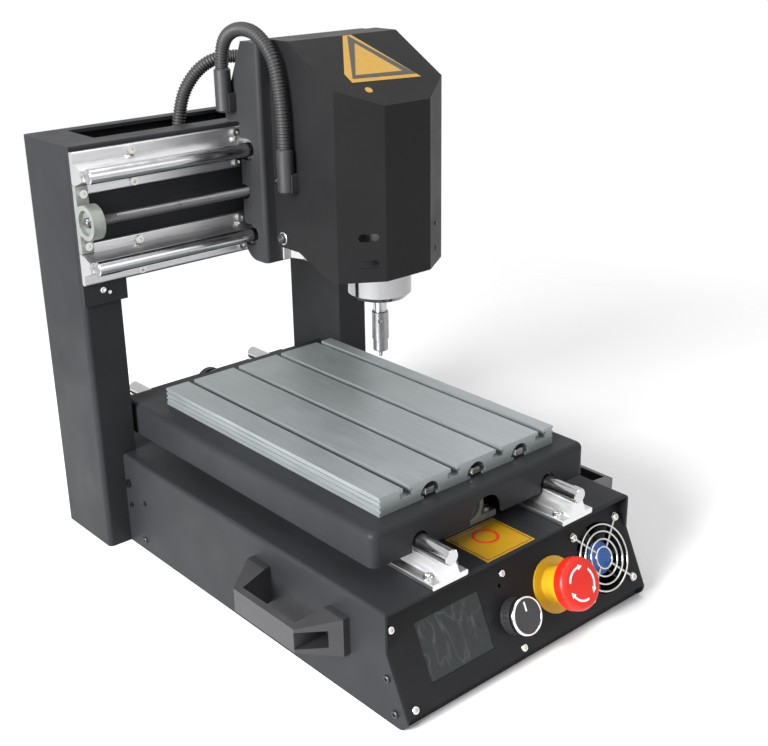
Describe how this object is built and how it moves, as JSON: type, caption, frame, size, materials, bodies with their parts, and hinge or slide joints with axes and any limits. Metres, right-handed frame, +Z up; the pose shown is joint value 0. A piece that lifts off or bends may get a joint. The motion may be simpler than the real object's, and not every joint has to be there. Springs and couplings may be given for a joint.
{
  "type": "benchtop cnc mill",
  "caption": "Benchtop CNC mill: steel base with sloped control panel, sliding T-slot bed, fixed gantry with cross rails, hooded spindle head, emergency stop and handles.",
  "frame": {"origin": "on the standing plane, centre plane of the machine, midway along the base", "axes": "+X to the operator's right, +Y towards the gantry and the back, +Z up"},
  "size_m": [0.353, 0.4957, 0.4351],
  "materials": {
    "base_coat": "satin",
    "panel_coat": "satin",
    "table_coat": "satin",
    "gantry_coat": "satin",
    "head_coat": "satin",
    "display": "gloss",
    "black_plastic": "satin",
    "yellow_plastic": "satin",
    "red_plastic": "satin",
    "guard_wire": "polished",
    "bright_screw": "polished",
    "black_screw": "satin",
    "circuit_board": "satin",
    "supply_case": "satin",
    "rail_aluminium": "brushed",
    "ground_steel": "polished",
    "cast_stand": "cast",
    "motor_case": "satin",
    "grey_plastic": "satin",
    "hose": "matte",
    "anodised_bed": "anodised",
    "block_aluminium": "satin",
    "nut_plastic": "matte",
    "plate_aluminium": "satin",
    "spindle_case": "satin",
    "spindle_chrome": "polished",
    "holder_steel": "turned",
    "carbide": "ground",
    "thread_steel": "turned"
  },
  "bodies": {
    "frame": {"base_shell": "base_coat", "bottom_plate": "base_coat", "front_panel": "panel_coat", "display_screen": "display", "speed_control": "black_plastic", "estop_plate": "yellow_plastic", "estop_body": "yellow_plastic", "fan_frame": "black_plastic", "fan_guard": "guard_wire", "panel_screws": "bright_screw", "side_screws": "black_screw", "handles": "black_plastic", "control_board": "circuit_board", "power_supply": "supply_case", "power_inlet": "black_plastic", "y_supports": "rail_aluminium", "y_shafts": "ground_steel", "rail_screws": "bright_screw", "screw_bearings": "cast_stand", "motor_brackets": "base_coat", "axis_motors": "motor_case", "y_belt": "hose", "column_left": "gantry_coat", "column_right": "gantry_coat", "beam": "gantry_coat", "x_supports": "rail_aluminium", "x_shafts": "ground_steel", "beam_gland": "black_plastic", "hose_beam": "hose"},
    "y_table": {"table": "table_coat", "bed": "anodised_bed", "bed_bolts": "bright_screw", "y_blocks": "block_aluminium", "y_nut": "nut_plastic"},
    "cross_carriage": {"x_carriage": "head_coat", "x_blocks": "block_aluminium", "x_nut": "nut_plastic", "z_supports": "rail_aluminium", "z_shafts": "ground_steel", "z_rail_screws": "bright_screw", "z_nut": "nut_plastic", "carriage_glands": "grey_plastic", "hose_head": "hose"},
    "head": {"head_plate": "plate_aluminium", "z_blocks": "block_aluminium", "z_motor": "motor_case", "spindle_clamp": "plate_aluminium", "spindle_body": "spindle_case", "spindle_cap": "spindle_chrome", "head_hood": "head_coat", "hood_elbow": "black_plastic"},
    "spindle": {"spindle_shaft": "ground_steel", "tool_holder": "holder_steel", "cutter": "carbide"},
    "y_lead": {"y_screw": "thread_steel"},
    "x_lead": {"x_screw": "thread_steel"},
    "z_lead": {"z_screw": "thread_steel"},
    "stop_button": {"estop_button": "red_plastic"},
    "knob": {"speed_knob": "black_plastic"},
    "fan": {"fan_rotor": "black_plastic"}
  },
  "joints": [
    {"name": "y_slide", "type": "slide", "parent": "frame", "child": "y_table", "axis": [0, 1, 0], "range_m": [-0.06, 0.14]},
    {"name": "x_slide", "type": "slide", "parent": "frame", "child": "cross_carriage", "axis": [1, 0, 0], "range_m": [-0.136, 0.014], "deforming": ["hose_beam"]},
    {"name": "z_slide", "type": "slide", "parent": "cross_carriage", "child": "head", "axis": [0, 0, 1], "range_m": [-0.013, 0.045], "deforming": ["hose_head"]},
    {"name": "y_lead_turn", "type": "hinge", "parent": "frame", "child": "y_lead", "pos_m": [0, 0, 0.0985], "axis": [0, 1, 0], "range_deg": [-2706, 6306]},
    {"name": "x_lead_turn", "type": "hinge", "parent": "frame", "child": "x_lead", "pos_m": [0, 0.1065, 0.2935], "axis": [1, 0, 0], "range_deg": [-6126, 636]},
    {"name": "z_lead_turn", "type": "hinge", "parent": "head", "child": "z_lead", "pos_m": [0.0674, 0.0585, 0.3], "axis": [0, 0, 1], "range_deg": [-591, 2031]},
    {"name": "spindle_turn", "type": "hinge", "parent": "head", "child": "spindle", "pos_m": [0.0674, 0.0095, 0.25], "axis": [0, 0, 1], "continuous": true},
    {"name": "stop_press", "type": "slide", "parent": "frame", "child": "stop_button", "axis": [0, 0.9044, -0.4268], "range_m": [0, 0.005], "stiffness_N_per_m": 600, "springref_m": -0.001},
    {"name": "knob_turn", "type": "hinge", "parent": "frame", "child": "knob", "pos_m": [-0.011, -0.22964, 0.03886], "axis": [0, -0.9044, 0.4268], "range_deg": [-150, 150]},
    {"name": "fan_turn", "type": "hinge", "parent": "frame", "child": "fan", "pos_m": [0.092, -0.2149, 0.03964], "axis": [0, -0.9044, 0.4268], "continuous": true}
  ],
  "couplings": [
    {"joint": "y_lead_turn", "follows": "y_slide", "rad_per_m": 785.4},
    {"joint": "x_lead_turn", "follows": "x_slide", "rad_per_m": 785.4},
    {"joint": "z_lead_turn", "follows": "z_slide", "rad_per_m": 785.4}
  ]
}
